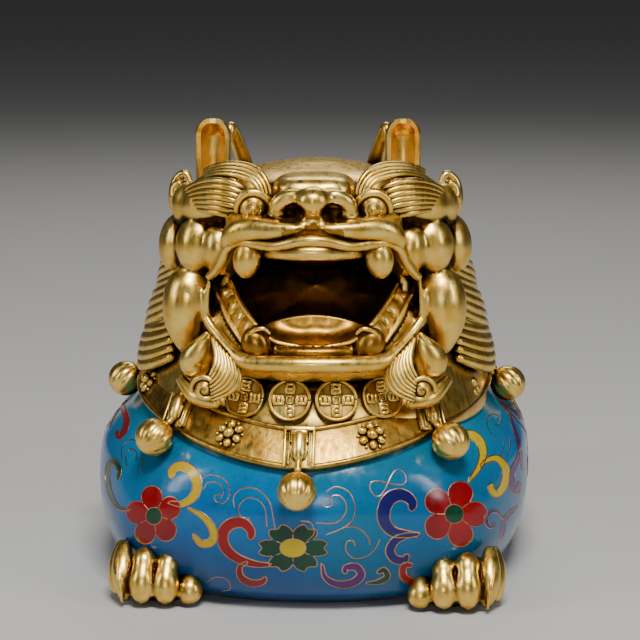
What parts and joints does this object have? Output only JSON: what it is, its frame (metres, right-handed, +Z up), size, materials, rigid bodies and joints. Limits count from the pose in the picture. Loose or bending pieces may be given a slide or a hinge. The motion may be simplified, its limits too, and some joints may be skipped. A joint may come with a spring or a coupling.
{
  "type": "pixiu figure",
  "caption": "Squat pixiu figure: gilt horned head with open mouth, belled collar, paws and tail on a round enamelled body.",
  "frame": {"origin": "on the flat underside, below the shoulders", "axes": "+Z up, the face towards -Y, +X towards the figure's own left"},
  "size_m": [0.113, 0.1362, 0.107],
  "materials": {
    "enamel": "glossy wired enamel on copper",
    "gilt": "satin gilt with dark recesses"
  },
  "bodies": {
    "root": {"body": "enamel", "head": "gilt", "collar": "gilt", "paw_front_right": "gilt", "paw_front_left": "gilt", "paw_hind_right": "gilt", "paw_hind_left": "gilt", "bell_1": "gilt", "bell_2": "gilt", "bell_3": "gilt", "bell_4": "gilt", "bell_5": "gilt", "bell_6": "gilt", "bell_7": "gilt", "bell_8": "gilt", "tail": "gilt"}
  },
  "joints": []
}
